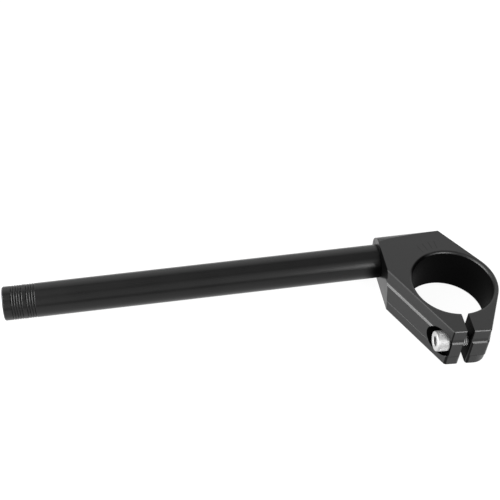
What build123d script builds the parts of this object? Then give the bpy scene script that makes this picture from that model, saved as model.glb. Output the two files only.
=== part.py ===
from build123d import *
from math import acos, cos, degrees, radians, sin, sqrt, tan
import os

# A clip on handlebar: a split fork clamp with a bar set in its side, closed by one pinch bolt.
# The frame is the clamp's own, in millimetres: +Z runs up the fork, and the origin is on the fork's axis at half
# the clamp's height. The bar leaves along -X and drops as it goes, and the slit between the jaws opens to -Y.

# Fork clamp
fork_dia = 52.0
clamp_height = 30.0
ring_wall = 4.2
jaw_depth = 16.45             # fork bore to the front of the jaws at mid height
left_flank_angle = 28.5       # lean of each front flank away from the slit, in degrees
right_flank_angle = 24.4
rear_flank_angle = 36.0       # turn of the rear flank's outward side from +X to the back, in degrees
jaw_corner_radius = 2.2
slit_width = 4.4
slit_edge_radius = 1.5
slit_mouth_radius = 2.3
bore_edge_radius = 1.9        # upper edge of the fork bore
bore_foot_radius = 1.1        # lower edge of the fork bore
top_chamfer = 0.5
bottom_chamfer = 0.4

# Three bands round the clamp: a recess above, and a proud foot below, each run out by a tapered cutter
cutter_radius = 1.2           # round nose of the cutter
cutter_taper = 38.0           # tilt of the ledge that its taper leaves, up from the clamp's side, in degrees
recess_depth = 0.9
recess_height = 10.8
foot_step = 0.15
foot_height = 7.2
foot_corner_radius = 10.0     # the foot's right hand corner is rounder than the bands above it

# Bar and the boss that holds it
bar_dia = 22.0
bar_wall = 4.0
bar_reach = 244.3             # end face of the clamp to the free end of the bar
bar_drop = 5.15               # fall of the bar below square to the fork, in degrees
bar_set_in = 1.5              # how far the bar's inner side passes the back of the fork bore
spigot_dia = 21.0             # the end of the bar that is turned down and bonded in the socket
spigot_show = 0.5             # end face of the clamp to the bar's shoulder
neck_reach = 12.9             # fork bore to the end face, along the bar
boss_wall = 4.3
socket_web = 2.6              # metal between the socket's floor and the fork bore
bond_gap = 0.03
bar_root_chamfer = 0.5
bar_end_chamfer = 0.8
bar_mouth_chamfer = 0.5

# Turned grip grooves at the free end, in two bands with one pitch of plain bar between them
groove_start = 5.8
groove_pitch = 1.6
groove_width = 1.0
groove_depth = 0.4
outer_grooves = 5
inner_grooves = 4

# Pinch bolt, its pocket in the left jaw and its tapped hole in the right
bolt_dia = 8.0
bolt_length = 25.0
bolt_tip_chamfer = 1.0
head_dia = 13.0
head_height = 8.0
head_edge_radius = 0.8
hex_flats = 6.0
hex_depth = 4.4
bolt_setback = 8.45           # fork bore to the bolt's axis
bolt_drop = 0.9               # bolt's axis below half height
jaw_grip = 8.1                # slit to the floor of the pocket
pocket_dia = 19.0
bolt_clearance = 0.25
thread_gap = 0.02

# How far cutters reach past the faces that they cut
margin = 0.5

fork_radius = fork_dia / 2
ring_radius = fork_radius + ring_wall
jaw_front = -(fork_radius + jaw_depth)
top = clamp_height / 2
bottom = -clamp_height / 2
ledge = top - recess_height
foot_top = bottom + foot_height

bar_radius = bar_dia / 2
spigot_radius = spigot_dia / 2
boss_radius = bar_radius + boss_wall
bar_y = fork_radius + bar_radius - bar_set_in
end_face_x = -(fork_radius + neck_reach)
bar_direction = Vector(-cos(radians(bar_drop)), 0, -sin(radians(bar_drop)))
bar_plane = Plane(origin=(end_face_x, bar_y, 0), x_dir=(0, 1, 0), z_dir=bar_direction)
socket_floor_x = -sqrt((fork_radius + socket_web) ** 2 - (bar_y - spigot_radius) ** 2)
socket_depth = (socket_floor_x - end_face_x) / cos(radians(bar_drop))

bolt_y = -(fork_radius + bolt_setback)
seat_x = -(slit_width / 2 + jaw_grip)
bolt_plane = Plane(origin=(seat_x, bolt_y, -bolt_drop), x_dir=(0, 1, 0), z_dir=(1, 0, 0))

LEFT = 180 + left_flank_angle
RIGHT = -right_flank_angle
REAR = rear_flank_angle


def heading(angle):
    """Unit vector in plan."""
    return Vector(cos(radians(angle)), sin(radians(angle)))


def on_flank(angle, reach, y):
    """Point at y on the flank that faces angle, reach away from the fork's axis."""
    out = heading(angle)
    return Vector((reach - out.Y * y) / out.X, y)


def arc_about(centre, start, end):
    """The shorter arc from start to end about a centre."""
    centre, start, end = Vector(centre), Vector(start), Vector(end)
    spoke = (start - centre + end - centre).normalized()
    return ThreePointArc(start, centre + spoke * (start - centre).length, end)


def rim(grow, right_radius, rear_y):
    """Plan edges round the clamp, moved out by grow: left flank, jaw fronts, right flank, ring and rear flank."""
    reach = ring_radius + grow
    front = jaw_front - grow
    jaws = FilletPolyline(
        on_flank(LEFT, reach, bar_y),
        on_flank(LEFT, reach, front),
        on_flank(RIGHT, reach, front),
        heading(RIGHT) * reach,
        radius=(jaw_corner_radius + grow, right_radius + grow),
    )
    ring = CenterArc((0, 0), reach, RIGHT, REAR - RIGHT)
    rear = Line(heading(REAR) * reach, on_flank(REAR, reach, rear_y))
    return jaws.edges() + ring.edges() + rear.edges()


def plate(grow, right_radius, low, high):
    """A flat slice of the clamp in front of the bar's axis."""
    reach = ring_radius + grow
    back = Line(on_flank(REAR, reach, bar_y), on_flank(LEFT, reach, bar_y))
    plan = make_face(rim(grow, right_radius, bar_y) + back.edges())
    return Pos(0, 0, low) * extrude(plan, high - low)


def run_round(grow, right_radius, profile_edges):
    """A cutter whose profile, drawn as distance out and height, runs round the clamp's rim."""
    path = Wire(rim(grow, right_radius, bar_y + 2 * boss_radius))
    start = Plane(origin=path @ 0, x_dir=heading(LEFT), z_dir=-(path % 0))
    return sweep(start * make_face(profile_edges), path)


def nose_turn(depth):
    """How far round the cutter's nose a cut of this depth goes, up to where its taper starts, in radians."""
    return radians(min(cutter_taper, degrees(acos(max(1 - depth / cutter_radius, -1)))))


def run_out_rise(depth):
    """Height of the curve and slope that the cutter leaves at the foot of a cut."""
    turn = nose_turn(depth)
    taper_depth = depth - cutter_radius * (1 - cos(turn))
    return cutter_radius * sin(turn) + taper_depth / tan(turn)


def band_cutter(grow, depth, lip_z):
    """Cuts a band depth below the one under it, run out down to lip_z, with the top edge broken."""
    wall_z = lip_z + run_out_rise(depth)
    turn = nose_turn(depth)
    nose_end = (cutter_radius * (1 - cos(turn)), wall_z - cutter_radius * sin(turn))
    lip = (depth, lip_z)
    reaches_taper = turn == radians(cutter_taper)
    nose = arc_about((cutter_radius, wall_z), (0, wall_z), nose_end if reaches_taper else lip)
    outside = Polyline(
        *([nose_end, lip] if reaches_taper else [lip]),
        (depth + margin, lip_z),
        (depth + margin, top + margin),
        (-top_chamfer - margin, top + margin),
        (0, top - top_chamfer),
        (0, wall_z),
    )
    return run_round(grow, jaw_corner_radius, nose.edges() + outside.edges())


def bottom_edge_cutter():
    """Breaks the lower edge of the foot."""
    corner = Polyline(
        (0, bottom + bottom_chamfer),
        (-bottom_chamfer - margin, bottom - margin),
        (margin, bottom - margin),
        (margin, bottom + bottom_chamfer),
        close=True,
    )
    return run_round(foot_step, foot_corner_radius, corner.edges())


def boss():
    """Round over the bar's own axis above it, and round along the clamp's foot below it."""
    length = 2 * (ring_radius + neck_reach + boss_radius)
    over_bar = Plane(origin=bar_plane.origin, x_dir=(0, 1, 0), z_dir=Vector(0, 1, 0).cross(bar_direction))
    above = split(bar_plane * Cylinder(boss_radius, length), over_bar, keep=Keep.TOP)
    low_radius = min(boss_radius, clamp_height / 2)
    back_y = bar_y + boss_radius
    round_foot = arc_about((back_y - low_radius, bottom + low_radius), (back_y - low_radius, bottom),
                           (back_y, bottom + low_radius))
    sides = Polyline((back_y, bottom + low_radius), (back_y, top), (bar_y - ring_wall, top),
                     (bar_y - ring_wall, bottom), (back_y - low_radius, bottom))
    below = extrude(Plane.YZ * make_face(round_foot.edges() + sides.edges()), length / 2, both=True)
    below = split(below, over_bar, keep=Keep.BOTTOM)
    return (above & Box(length, 2 * length, clamp_height)) + below


def fork_bore():
    """The bore, with both of its edges rounded."""
    low_flare = fork_radius + bore_foot_radius
    high_flare = fork_radius + bore_edge_radius
    low_arc = arc_about((low_flare, bottom + bore_foot_radius), (low_flare, bottom),
                        (fork_radius, bottom + bore_foot_radius))
    high_arc = arc_about((high_flare, top - bore_edge_radius), (fork_radius, top - bore_edge_radius),
                         (high_flare, top))
    wall = Line(low_arc @ 1, high_arc @ 0)
    inside = Polyline(high_arc @ 1, (high_flare, top + margin), (0, top + margin), (0, bottom - margin),
                      (low_flare, bottom - margin), low_arc @ 0)
    profile = make_face(low_arc.edges() + wall.edges() + high_arc.edges() + inside.edges())
    return revolve(Plane.XZ * profile, Axis.Z)


def slit_cutter():
    """The slit, rounded where it leaves the bore and where it opens at the front of the jaws."""
    half = slit_width / 2
    front = jaw_front - foot_step
    inner_x = half + slit_edge_radius
    inner = Vector(inner_x, -sqrt((fork_radius + slit_edge_radius) ** 2 - inner_x ** 2))
    in_bore = inner * (fork_radius / (fork_radius + slit_edge_radius))
    mouth = Vector(half + slit_mouth_radius, front + slit_mouth_radius)
    first = arc_about(inner, in_bore, (half, inner.Y))
    last = arc_about(mouth, (half, mouth.Y), (mouth.X, front))
    wall = Line(first @ 1, last @ 0)
    rest = Polyline(last @ 1, (mouth.X, front - margin), (0, front - margin), (0, in_bore.Y), in_bore)
    half_plan = make_face(first.edges() + wall.edges() + last.edges() + rest.edges())
    plan = half_plan + mirror(half_plan, Plane.YZ)
    return extrude(plan, top + margin, both=True)


def bolt_way():
    """Pocket for the head, clearance hole in the left jaw and tapped hole through the right."""
    far = clamp_height + ring_radius
    pocket = Cylinder(pocket_dia / 2, far, align=(Align.CENTER, Align.CENTER, Align.MAX))
    clearance_hole = Cylinder(bolt_dia / 2 + bolt_clearance, jaw_grip + slit_width / 2,
                              align=(Align.CENTER, Align.CENTER, Align.MIN))
    tapped_hole = Cylinder(bolt_dia / 2 + thread_gap, far, align=(Align.CENTER, Align.CENTER, Align.MIN))
    return bolt_plane * (pocket + clearance_hole + tapped_hole)


def fork_clamp():
    """The clamp: a banded slice joined to the boss, cut for the fork, the slit, the bolt and the bar."""
    foot_wall = foot_top + run_out_rise(foot_step)
    body = plate(foot_step, foot_corner_radius, bottom, foot_wall) + plate(0, jaw_corner_radius, foot_top, top)
    body += boss()
    rear_flank = Plane(origin=heading(REAR) * ring_radius, z_dir=heading(REAR))
    body = split(body, rear_flank, keep=Keep.BOTTOM)
    body = split(body, bar_plane, keep=Keep.BOTTOM)
    body -= band_cutter(0, foot_step, foot_top)
    body -= band_cutter(-recess_depth, recess_depth, ledge)
    body -= bottom_edge_cutter()
    body -= fork_bore()
    body -= slit_cutter()
    body -= bolt_way()
    socket = Cylinder(spigot_radius + bond_gap, socket_depth, align=(Align.CENTER, Align.CENTER, Align.MAX))
    return body - bar_plane * socket


def bar_tube():
    """The bar: a turned tube from the socket's floor to the free end, with two bands of grip grooves."""
    bore_radius = bar_radius - bar_wall
    points = [
        (bore_radius, -socket_depth),
        (spigot_radius - bar_root_chamfer, -socket_depth),
        (spigot_radius, -socket_depth + bar_root_chamfer),
        (spigot_radius, spigot_show),
        (bar_radius, spigot_show),
    ]
    steps = list(range(outer_grooves)) + [outer_grooves + 1 + i for i in range(inner_grooves)]
    for step in reversed(steps):
        middle = bar_reach - groove_start - step * groove_pitch
        points.append((bar_radius, middle - groove_width / 2))
        points.append((bar_radius - groove_depth, middle))
        points.append((bar_radius, middle + groove_width / 2))
    points += [
        (bar_radius, bar_reach - bar_end_chamfer),
        (bar_radius - bar_end_chamfer, bar_reach),
        (bore_radius + bar_mouth_chamfer, bar_reach),
        (bore_radius, bar_reach - bar_mouth_chamfer),
    ]
    profile = make_face(Polyline(points, close=True).edges())
    return bar_plane * revolve(Plane.XZ * profile, Axis.Z)


def pinch_bolt():
    """A socket cap screw, its head seated on the pocket's floor and its shank through both jaws."""
    head = Cylinder(head_dia / 2, head_height, align=(Align.CENTER, Align.CENTER, Align.MAX))
    head = fillet(head.edges().sort_by(Axis.Z)[0], head_edge_radius)
    shank = Cylinder(bolt_dia / 2, bolt_length, align=(Align.CENTER, Align.CENTER, Align.MIN))
    shank = chamfer(shank.edges().sort_by(Axis.Z)[-1], bolt_tip_chamfer)
    hexagon = RegularPolygon(hex_flats / 2, 6, major_radius=False, rotation=90)
    hex_socket = Pos(0, 0, -head_height) * extrude(hexagon, hex_depth)
    return bolt_plane * (head + shank - hex_socket)


os.makedirs("parts", exist_ok=True)
for node in (fork_clamp, bar_tube, pinch_bolt):
    export_step(node(), f"parts/{node.__name__}.step")
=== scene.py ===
import math

import bmesh
import bpy
from mathutils import Matrix, Vector


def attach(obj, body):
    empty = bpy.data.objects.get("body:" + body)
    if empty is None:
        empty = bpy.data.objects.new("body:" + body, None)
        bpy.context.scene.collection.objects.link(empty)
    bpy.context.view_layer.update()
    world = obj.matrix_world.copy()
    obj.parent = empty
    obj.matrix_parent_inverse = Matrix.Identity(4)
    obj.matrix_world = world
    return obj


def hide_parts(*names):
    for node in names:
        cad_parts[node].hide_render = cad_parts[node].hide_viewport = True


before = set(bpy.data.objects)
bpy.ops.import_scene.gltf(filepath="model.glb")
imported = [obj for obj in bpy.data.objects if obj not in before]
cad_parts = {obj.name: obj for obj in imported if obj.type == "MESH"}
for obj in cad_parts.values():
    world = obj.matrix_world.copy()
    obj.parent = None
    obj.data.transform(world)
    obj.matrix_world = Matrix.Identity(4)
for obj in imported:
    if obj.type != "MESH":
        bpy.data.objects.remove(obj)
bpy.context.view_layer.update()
scene = bpy.context.scene

# Fork clamp. It is milled from one billet of aluminium, bead blasted and anodised black, with a fine grain.
# The fork bore, the slit, the bolt's pocket, the jaws' corners, part of the bore's edge and the face beside
# the bar get painted shade, a near-black shader. Four short index lines are scribed across the top, behind
# the bore.


class Value:
    """A shader socket that can be used in sums: each operator adds its Math node."""

    def __init__(self, socket):
        self.socket = socket

    def math(self, operation, *others):
        inputs = dict(enumerate((self,) + others))
        return add(self.socket.id_data, "ShaderNodeMath", {"operation": operation}, inputs)

    def __add__(self, other):
        return self.math("ADD", other)

    def __sub__(self, other):
        return self.math("SUBTRACT", other)

    def __rsub__(self, other):
        return add(self.socket.id_data, "ShaderNodeMath", {"operation": "SUBTRACT"}, {0: other, 1: self})

    def __mul__(self, other):
        return self.math("MULTIPLY", other)

    __radd__ = __add__
    __rmul__ = __mul__

    def rise(self, low, high):
        """0 below low, 1 above high, and smooth between."""
        inputs = {"Value": self, "From Min": low, "From Max": high}
        return add(self.socket.id_data, "ShaderNodeMapRange", {"interpolation_type": "SMOOTHSTEP"}, inputs)

    def either(self, *others):
        """The largest of this value and the others."""
        largest = self
        for other in others:
            largest = largest.math("MAXIMUM", other)
        return largest

    def out(self, name):
        """Another output of the node that gave this value."""
        return Value(self.socket.node.outputs[name])


def add(tree, kind, settings={}, inputs={}):
    """Adds a node with its settings, fills or links its sockets, and gives its first used output."""
    node = tree.nodes.new(kind)
    for name, value in settings.items():
        setattr(node, name, value)
    for name, value in inputs.items():
        if isinstance(value, Value):
            tree.links.new(value.socket, node.inputs[name])
        else:
            node.inputs[name].default_value = value
    used = [socket for socket in node.outputs if socket.enabled]
    return Value(used[0]) if used else None


def mixed(tree, amount, first, second):
    """A colour between two others."""
    return add(tree, "ShaderNodeMix", {"data_type": "RGBA"}, {0: amount, 6: first, 7: second})


def grey(level):
    """A neutral colour."""
    return (level, level, level, 1)


def new_finish(name):
    """An empty material, and its nodes."""
    material = bpy.data.materials.new(name)
    material.use_nodes = True
    material.node_tree.nodes.clear()
    return material, material.node_tree


def millimetres(tree):
    """Place on the piece, in millimetres."""
    place = add(tree, "ShaderNodeTexCoord").out("Object")
    return add(tree, "ShaderNodeVectorMath", {"operation": "SCALE"}, {0: place, "Scale": 1000.0})


def dress(name, material):
    """Gives a CAD node its finish."""
    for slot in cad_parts[name].material_slots:
        slot.material = material


fork_radius = 26.0
clamp_top = 15.0
slit_half = 2.2
slit_end = -25.0
bolt_y, bolt_z, bolt_seat = -34.45, -0.9, -10.3
pocket_radius = 9.5
edge_start, edge_stop = (106.0, 122.0), (150.0, 168.0)
corner_side = (-0.53, -0.848, 0.0)
corner_fade = (0.91, 0.97)
corner_amount = 0.8
bar_root = Vector((-38.9, 35.5, 0.0))
bar_drop = math.radians(5.15)
bar_front = (31.0, 35.0)
foot_slope = 0.96
foot_fade = (-16.0, -14.0)
scribe_angles = (95.0, 101.5, 108.5, 115.5)
scribe_start, scribe_stop = (29.5, 30.5), (35.5, 37.5)
scribe_fade = (0.15, 0.75)
ledge_foot = 4.9
ledge_fade = 3.1
ledge_height = 0.5
to_degrees = 180 / math.pi

clamp_finish, tree = new_finish("clamp_black_anodised")
spot = millimetres(tree)
split = add(tree, "ShaderNodeSeparateXYZ", {}, {0: spot})
x, y, z = split.out("X"), split.out("Y"), split.out("Z")
radius = (x * x + y * y).math("SQRT")
turn = y.math("ARCTAN2", x) * to_degrees

# Painted shade: the bore and the left stretch of its rounded edge, the slit and the pocket
in_bore = 1 - radius.rise(fork_radius + 0.02, fork_radius + 0.12)
edge_shade = 1 - radius.rise(fork_radius + 0.9, fork_radius + 2.3)
edge_shade = edge_shade * turn.rise(*edge_start) * (1 - turn.rise(*edge_stop))
in_slit = 1 - x.math("ABSOLUTE").rise(slit_half + 0.02, slit_half + 0.3)
in_slit = in_slit * (1 - y.rise(slit_end - 0.5, slit_end))
from_bolt = ((y - bolt_y) * (y - bolt_y) + (z - bolt_z) * (z - bolt_z)).math("SQRT")
in_pocket = 1 - from_bolt.rise(pocket_radius + 0.02, pocket_radius + 0.12)
in_pocket = in_pocket * (1 - x.rise(bolt_seat, bolt_seat + 0.1))

# Painted shade: the jaws' upright corners, by the way they face, and the end face in front of the bar, where
# it stands for a dark reflection
outwards = add(tree, "ShaderNodeNewGeometry").out("Normal")
facing = add(tree, "ShaderNodeVectorMath", {"operation": "DOT_PRODUCT"}, {0: outwards, 1: corner_side})
corner_shade = facing.out("Value").rise(*corner_fade) * corner_amount
behind_face = (x - bar_root.x) * math.cos(bar_drop) + z * math.sin(bar_drop)
above_foot = z + foot_slope * (y - bar_root.y)
bar_shade = (1 - behind_face.rise(0.05, 0.35)) * above_foot.rise(*foot_fade) * (1 - y.rise(*bar_front))
# All these places take painted shade
painted_shade = in_bore.either(in_slit, in_pocket, corner_shade, bar_shade, edge_shade)

# Index lines: radial scratches, each a narrow dip in the angle round the fork
lines = [1 - (turn - angle).math("ABSOLUTE").rise(*scribe_fade) for angle in scribe_angles]
scribe = lines[0].either(*lines[1:]) * z.rise(clamp_top - 0.1, clamp_top - 0.05)
scribe = scribe * radius.rise(*scribe_start) * (1 - radius.rise(*scribe_stop))

grain = add(tree, "ShaderNodeTexNoise", {}, {"Vector": spot, "Scale": 2.6, "Detail": 3.0, "Roughness": 0.6})
cloud = add(tree, "ShaderNodeTexNoise", {}, {"Vector": spot, "Scale": 0.09, "Detail": 2.0})
shade = mixed(tree, cloud, grey(0.001), grey(0.002))
shade = mixed(tree, scribe * 0.6, shade, grey(0.004))
run_out = ledge_height * (1 - z.rise(ledge_foot, ledge_foot + ledge_fade))
relief = 0.012 * grain - 0.02 * scribe + run_out
bump = add(tree, "ShaderNodeBump", {}, {"Strength": 1.0, "Distance": 0.001, "Height": relief})
blasted = add(tree, "ShaderNodeBsdfPrincipled", {}, {
    "Base Color": shade,
    "Roughness": 0.30 + 0.06 * grain + 0.05 * cloud,
    "Specular IOR Level": 0.40,
    "Normal": bump,
})
# A near-black shader with almost no reflection, for the painted shade
painted_shade_shader = add(tree, "ShaderNodeBsdfPrincipled", {}, {
    "Base Color": grey(0.001),
    "Roughness": 0.5,
    "Specular IOR Level": 0.015,
})
# The mix takes the painted shade, and the index lines' own duller scratched surface
finish = add(tree, "ShaderNodeMixShader", {}, {0: painted_shade.either(0.3 * scribe), 1: blasted, 2: painted_shade_shader})
add(tree, "ShaderNodeOutputMaterial", {}, {"Surface": finish})
dress("fork_clamp", clamp_finish)

# Bar. It is a drawn aluminium tube, anodised black, with two bands of grip grooves turned at its free end.
# Drawing leaves faint lines along it. It is pressed and bonded into the clamp's socket. Its root by the
# clamp and its grooves get painted shade, a near-black shader.
bar_radius = 11.0
grooves_start = 220.0
root_fade = (3.5, 13.0)
root_top = (3.5, 7.0)

bar_finish, tree = new_finish("bar_black_anodised")
spot = millimetres(tree)
turned_root = Matrix.Rotation(bar_drop, 3, "Y") @ bar_root
from_root = {0: spot, "Location": -turned_root, "Rotation": (0, bar_drop, 0)}
along = add(tree, "ShaderNodeMapping", {}, from_root)
stretched = add(tree, "ShaderNodeVectorMath", {"operation": "MULTIPLY"}, {0: along, 1: (0.01, 1.6, 1.6)})
split = add(tree, "ShaderNodeSeparateXYZ", {}, {0: along})
reach, side, up = -1 * split.out("X"), split.out("Y"), split.out("Z")
in_groove = 1 - (side * side + up * up).math("SQRT").rise(bar_radius - 0.2, bar_radius - 0.02)
in_groove = in_groove * reach.rise(grooves_start, grooves_start + 1.0)
at_root = (1 - reach.rise(*root_fade)) * (1 - up.rise(*root_top))
drawn = add(tree, "ShaderNodeTexNoise", {}, {"Vector": stretched, "Scale": 1.0, "Detail": 3.0})
cloud = add(tree, "ShaderNodeTexNoise", {}, {"Vector": spot, "Scale": 0.06, "Detail": 2.0})
bump = add(tree, "ShaderNodeBump", {}, {"Strength": 0.12, "Distance": 0.00004, "Height": drawn})
drawn_skin = add(tree, "ShaderNodeBsdfPrincipled", {}, {
    "Base Color": mixed(tree, cloud, grey(0.001), grey(0.002)),
    "Roughness": 0.22 + 0.08 * drawn + 0.06 * cloud + 0.1 * in_groove,
    "Specular IOR Level": 0.27,
    "Normal": bump,
})
# A near-black shader with almost no reflection, for the painted shade
painted_shade_skin = add(tree, "ShaderNodeBsdfPrincipled", {}, {
    "Base Color": grey(0.001),
    "Roughness": 0.6,
    "Specular IOR Level": 0.02,
})
# Painted shade at the root, by the clamp, and a little in the grooves
painted_shade = at_root.either(0.25 * in_groove)
finish = add(tree, "ShaderNodeMixShader", {}, {0: painted_shade, 1: drawn_skin, 2: painted_shade_skin})
add(tree, "ShaderNodeOutputMaterial", {}, {"Surface": finish})
dress("bar_tube", bar_finish)

# Pinch bolt. It is a bright zinc plated socket cap screw, cold formed, with a knurled head.
# Its head seats on the pocket's floor, and its rolled thread is screwed into the right jaw.
head_radius = 6.5
head_height = 8.0
head_round = 0.8
head_bevel = 0.3
hex_flats = 6.0
hex_depth = 4.4
hex_point = 0.7
mouth_bevel = 0.15
mouth_depth = 0.35
shank_length = 25.0
tip_bevel = 0.8
thread_radius = 4.0
thread_pitch = 1.25
thread_depth = 0.62
thread_margin = 1.0
neck_start, neck_end = 0.4, 0.9
knurl_height = 0.08
around = 96
round_steps = 6
hex_mouth = bolt_seat - head_height

bolt_finish, tree = new_finish("bolt_bright_zinc")
spot = millimetres(tree)
split = add(tree, "ShaderNodeSeparateXYZ", {}, {0: spot})
x, y, z = split.out("X"), split.out("Y") - bolt_y, split.out("Z") - bolt_z
# Painted shade: the inside of the hex socket is coloured darker
hex_shade = 1 - (y * y + z * z).math("SQRT").rise(hex_flats / 2, hex_flats / 2 + 0.5)
hex_shade = hex_shade * x.rise(hex_mouth + 0.1, hex_mouth + 0.6) * (1 - x.rise(bolt_seat - 1.0, bolt_seat))
cloud = add(tree, "ShaderNodeTexNoise", {}, {"Vector": spot, "Scale": 0.5, "Detail": 3.0})
shade = mixed(tree, cloud, grey(0.33), grey(0.39))
finish = add(tree, "ShaderNodeBsdfPrincipled", {}, {
    "Base Color": mixed(tree, hex_shade, shade, grey(0.17)),
    "Metallic": 0.8,
    "Roughness": 0.54 + 0.05 * cloud,
})
add(tree, "ShaderNodeOutputMaterial", {}, {"Surface": finish})

# The bolt is made with its axis on Z and its seat at 0, then turned so that the shank points along +X
to_seat = Matrix.Translation((bolt_seat, bolt_y, bolt_z)) @ Matrix.Rotation(math.pi / 2, 4, "Y")
to_place = Matrix.Scale(0.001, 4) @ to_seat


def hex_radius(angle):
    """Distance from the axis to the wall of the hex socket."""
    off_flat = (angle + math.pi / 6) % (math.pi / 3) - math.pi / 6
    return hex_flats / 2 / math.cos(off_flat)


# Each ring has its height and radius: 0 is a point on the axis, and None follows the hex socket
core = thread_radius - thread_depth
head_side = head_radius - knurl_height
head_top = -head_height
rings = [
    (shank_length, 0),
    (shank_length, core - tip_bevel),
    (shank_length - tip_bevel, core),
    (neck_end, core),
    (neck_start, thread_radius),
    (0, thread_radius + head_bevel),
    (0, head_side - head_bevel),
    (-head_bevel, head_side),
]
for step in range(round_steps + 1):
    bend = step * math.pi / 2 / round_steps
    level = head_top + head_round * (1 - math.sin(bend))
    rings.append((level, head_side - head_round * (1 - math.cos(bend))))
rings += [
    (head_top, hex_flats / math.sqrt(3) + mouth_bevel),
    (head_top + mouth_depth, None),
    (head_top + hex_depth, None),
    (head_top + hex_depth + hex_point, 0),
]
shape = bmesh.new()
previous = None
for level, girth in rings:
    if girth == 0:
        ring = [shape.verts.new((0, 0, level))] * around
    else:
        ring = []
        for i in range(around):
            angle = 2 * math.pi * i / around
            r = hex_radius(angle) if girth is None else girth
            ring.append(shape.verts.new((r * math.cos(angle), r * math.sin(angle), level)))
    if previous:
        for i in range(around):
            j = (i + 1) % around
            corners = dict.fromkeys((previous[i], previous[j], ring[j], ring[i]))
            shape.faces.new(list(corners))
    previous = ring
bmesh.ops.recalc_face_normals(shape, faces=shape.faces)
body = bpy.data.meshes.new("bolt_body")
shape.to_mesh(body)
shape.free()
body.transform(to_place)
body.shade_smooth()
body.set_sharp_from_angle(angle=math.radians(25))
body.materials.append(bolt_finish)
bolt_body = bpy.data.objects.new("bolt_body", body)
scene.collection.objects.link(bolt_body)
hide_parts("pinch_bolt")
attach(bolt_body, "root")


def new_tree(name, sizes):
    """An empty geometry tree with a named input for each size."""
    tree = bpy.data.node_groups.new(name, "GeometryNodeTree")
    kinds = {int: "NodeSocketInt", float: "NodeSocketFloat"}
    for label, value in sizes.items():
        tree.interface.new_socket(label, in_out="INPUT", socket_type=kinds[type(value)])
    tree.interface.new_socket("Geometry", in_out="OUTPUT", socket_type="NodeSocketGeometry")
    given = tree.nodes.new("NodeGroupInput")
    return tree, {label: Value(given.outputs[label]) for label in sizes}


def grow(name, tree, sizes, geometry, finish, place):
    """Ends a geometry tree, runs it once with its sizes, and gives the plain mesh piece that it makes."""
    real = add(tree, "GeometryNodeRealizeInstances", {}, {0: geometry})
    shown = add(tree, "GeometryNodeSetMaterial", {}, {"Geometry": real, "Material": finish})
    add(tree, "NodeGroupOutput", {}, {"Geometry": shown})
    maker = bpy.data.objects.new(name + "_maker", bpy.data.meshes.new(name + "_maker"))
    scene.collection.objects.link(maker)
    modifier = maker.modifiers.new(name, "NODES")
    modifier.node_group = tree
    for socket in tree.interface.items_tree:
        if socket.in_out == "INPUT":
            modifier[socket.identifier] = sizes[socket.name]
    seen = maker.evaluated_get(bpy.context.evaluated_depsgraph_get())
    mesh = bpy.data.meshes.new_from_object(seen)
    bpy.data.objects.remove(maker)
    mesh.name = name
    mesh.transform(place)
    piece = bpy.data.objects.new(name, mesh)
    scene.collection.objects.link(piece)
    return piece


# Knurl: square bars set on edge round the head, half sunk in it
knurl_sizes = {"Ridges": 72, "Radius": head_side, "Height": knurl_height, "Length": 5.6, "Middle": -3.6}
tree, size = new_tree("bolt_knurl", knurl_sizes)
circle = add(tree, "GeometryNodeMeshCircle", {}, {"Vertices": size["Ridges"], "Radius": size["Radius"]})
lifted = add(tree, "ShaderNodeCombineXYZ", {}, {"Z": size["Middle"]})
circle = add(tree, "GeometryNodeTransform", {}, {"Geometry": circle, "Translation": lifted})
thick = size["Height"] * math.sqrt(2)
ridge_size = add(tree, "ShaderNodeCombineXYZ", {}, {"X": thick, "Y": thick, "Z": size["Length"]})
ridge = add(tree, "GeometryNodeMeshCube", {}, {"Size": ridge_size})
ridge = add(tree, "GeometryNodeTransform", {}, {"Geometry": ridge, "Rotation": (0, 0, math.pi / 4)})
here = add(tree, "GeometryNodeInputPosition")
spoke = add(tree, "ShaderNodeVectorMath", {"operation": "MULTIPLY"}, {0: here, 1: (1, 1, 0)})
outward = add(tree, "FunctionNodeAlignRotationToVector", {"axis": "X"}, {"Vector": spoke})
knurl = add(tree, "GeometryNodeInstanceOnPoints", {}, {
    "Points": circle,
    "Instance": ridge,
    "Rotation": outward,
})
bolt_knurl = grow("bolt_knurl", tree, knurl_sizes, knurl, bolt_finish, to_place)
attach(bolt_knurl, "root")

# Thread: a ridge that winds round the core
turns = (shank_length - 2 * thread_margin) / thread_pitch
thread_sizes = {"Turns": turns, "Pitch": thread_pitch, "Core": core, "Half Width": thread_depth}
tree, size = new_tree("bolt_thread", thread_sizes)
helix = add(tree, "GeometryNodeCurveSpiral", {}, {
    "Resolution": 32,
    "Rotations": size["Turns"],
    "Start Radius": size["Core"],
    "End Radius": size["Core"],
    "Height": size["Turns"] * size["Pitch"],
})
helix = add(tree, "GeometryNodeSetCurveNormal", {"mode": "Z_UP"}, {"Curve": helix})
section = add(tree, "GeometryNodeCurvePrimitiveCircle", {}, {"Resolution": 4, "Radius": size["Half Width"]})
ridge = add(tree, "GeometryNodeCurveToMesh", {}, {
    "Curve": helix,
    "Profile Curve": section,
    "Fill Caps": True,
})
ridge = add(tree, "GeometryNodeTransform", {}, {"Geometry": ridge, "Translation": (0, 0, thread_margin)})
bolt_thread = grow("bolt_thread", tree, thread_sizes, ridge, bolt_finish, to_place)
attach(bolt_thread, "root")

# Floor. It is a wide pale sheet, plain and matt, lit from within so that it stays white.
# It slopes with the part, because the bar's free end and the clamp's foot both rest on it.
floor_half = 6.0
floor_gap = Vector((0, 0, 0.0002))
bar_foot = Vector((-0.2804, 0.0355, -0.0328))
clamp_foot = Vector((0.0302, 0.0, -0.0150))

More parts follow.
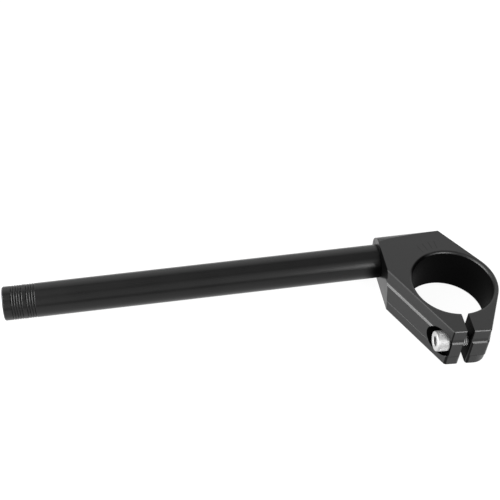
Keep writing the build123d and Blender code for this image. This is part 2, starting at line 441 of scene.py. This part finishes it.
floor_finish, tree = new_finish("floor_pale")
finish = add(tree, "ShaderNodeBsdfPrincipled", {}, {
    "Base Color": grey(0.1),
    "Roughness": 0.8,
    "Specular IOR Level": 0.0,
    "Emission Color": grey(1),
    "Emission Strength": 0.93,
})
add(tree, "ShaderNodeOutputMaterial", {}, {"Surface": finish})
slope = math.atan2(clamp_foot.z - bar_foot.z, clamp_foot.x - bar_foot.x)
floor_corners = [(a * floor_half, b * floor_half, 0) for a, b in ((-1, -1), (1, -1), (1, 1), (-1, 1))]
floor_mesh = bpy.data.meshes.new("floor")
floor_mesh.from_pydata(floor_corners, [], [(0, 1, 2, 3)])
floor_mesh.transform(Matrix.Translation(bar_foot - floor_gap) @ Matrix.Rotation(-slope, 4, "Y"))
floor_mesh.materials.append(floor_finish)
floor = bpy.data.objects.new("floor", floor_mesh)
scene.collection.objects.link(floor)

# Studio. It is a dim room with a paler ceiling, a white backdrop and three soft panels: on the left, behind,
# and in front on the right. Three light boxes give the bright lines on the clamp's ledges and edges.
side_blur = 8.0
end_blur = 5.0

world = bpy.data.worlds.new("studio")
scene.world = world
world.use_nodes = True
tree = world.node_tree
tree.nodes.clear()
towards = add(tree, "ShaderNodeSeparateXYZ", {}, {0: add(tree, "ShaderNodeTexCoord").out("Generated")})
elevation = towards.out("Z").math("ARCSINE") * to_degrees
bearing = towards.out("Y").math("ARCTAN2", towards.out("X")) * to_degrees
glow = 0.22 + 0.4 * elevation.rise(62.0, 74.0)

# Each panel has its middle bearing, half width, low edge and high edge in degrees, and its strength
panels = (
    (180.0, 45.0, 24.0, 70.0, 3.0),
    (68.0, 45.0, 8.0, 58.0, 1.2),
    (-66.0, 32.0, 14.0, 60.0, 1.1),
)
for middle, half_width, low, high, strength in panels:
    aside = (bearing - middle + 540.0).math("MODULO", 360.0) - 180.0
    across = 1 - aside.math("ABSOLUTE").rise(half_width - side_blur, half_width + side_blur)
    over = elevation.rise(low - end_blur, low + end_blur)
    under = 1 - elevation.rise(high - end_blur, high + end_blur)
    glow = glow + strength * across * over * under
backdrop = add(tree, "ShaderNodeLightPath").out("Is Camera Ray")
sky = add(tree, "ShaderNodeBackground", {}, {"Color": grey(1), "Strength": glow + (1 - glow) * backdrop})
add(tree, "ShaderNodeOutputWorld", {}, {"Surface": sky})

# Each box has its place, what it points at, its width and height in metres, and its radiance
boxes = {
    "left_box": ((-0.46, -0.06, 0.07), (-0.025, -0.005, 0.005), 0.38, 0.18, 20.5),
    "front_box": ((0.120, -0.355, 0.160), (0.0, -0.042, 0.005), 0.17, 0.15, 11.5),
    "edge_box": ((0.12, -0.295, 0.21), (0.0, -0.042, 0.015), 0.14, 0.06, 15.0),
}
for name, (place, target, width, height, radiance) in boxes.items():
    light = bpy.data.lights.new(name, "AREA")
    light.shape = "RECTANGLE"
    light.size = width
    light.size_y = height
    light.energy = radiance * math.pi * width * height
    box = bpy.data.objects.new(name, light)
    box.location = place
    box.rotation_euler = (Vector(target) - Vector(place)).to_track_quat("-Z", "Y").to_euler()
    scene.collection.objects.link(box)

# Camera, at the photograph's own viewing angle
lens = bpy.data.cameras.new("camera")
lens.sensor_width = 36.0
lens.lens = 86.4
camera = bpy.data.objects.new("camera", lens)
camera.location = (-0.257372, -0.484596, 0.561621)
camera.rotation_euler = [math.radians(a) for a in (44.296, -5.150, -8.925)]
scene.collection.objects.link(camera)
scene.camera = camera
scene.view_settings.view_transform = "Standard"
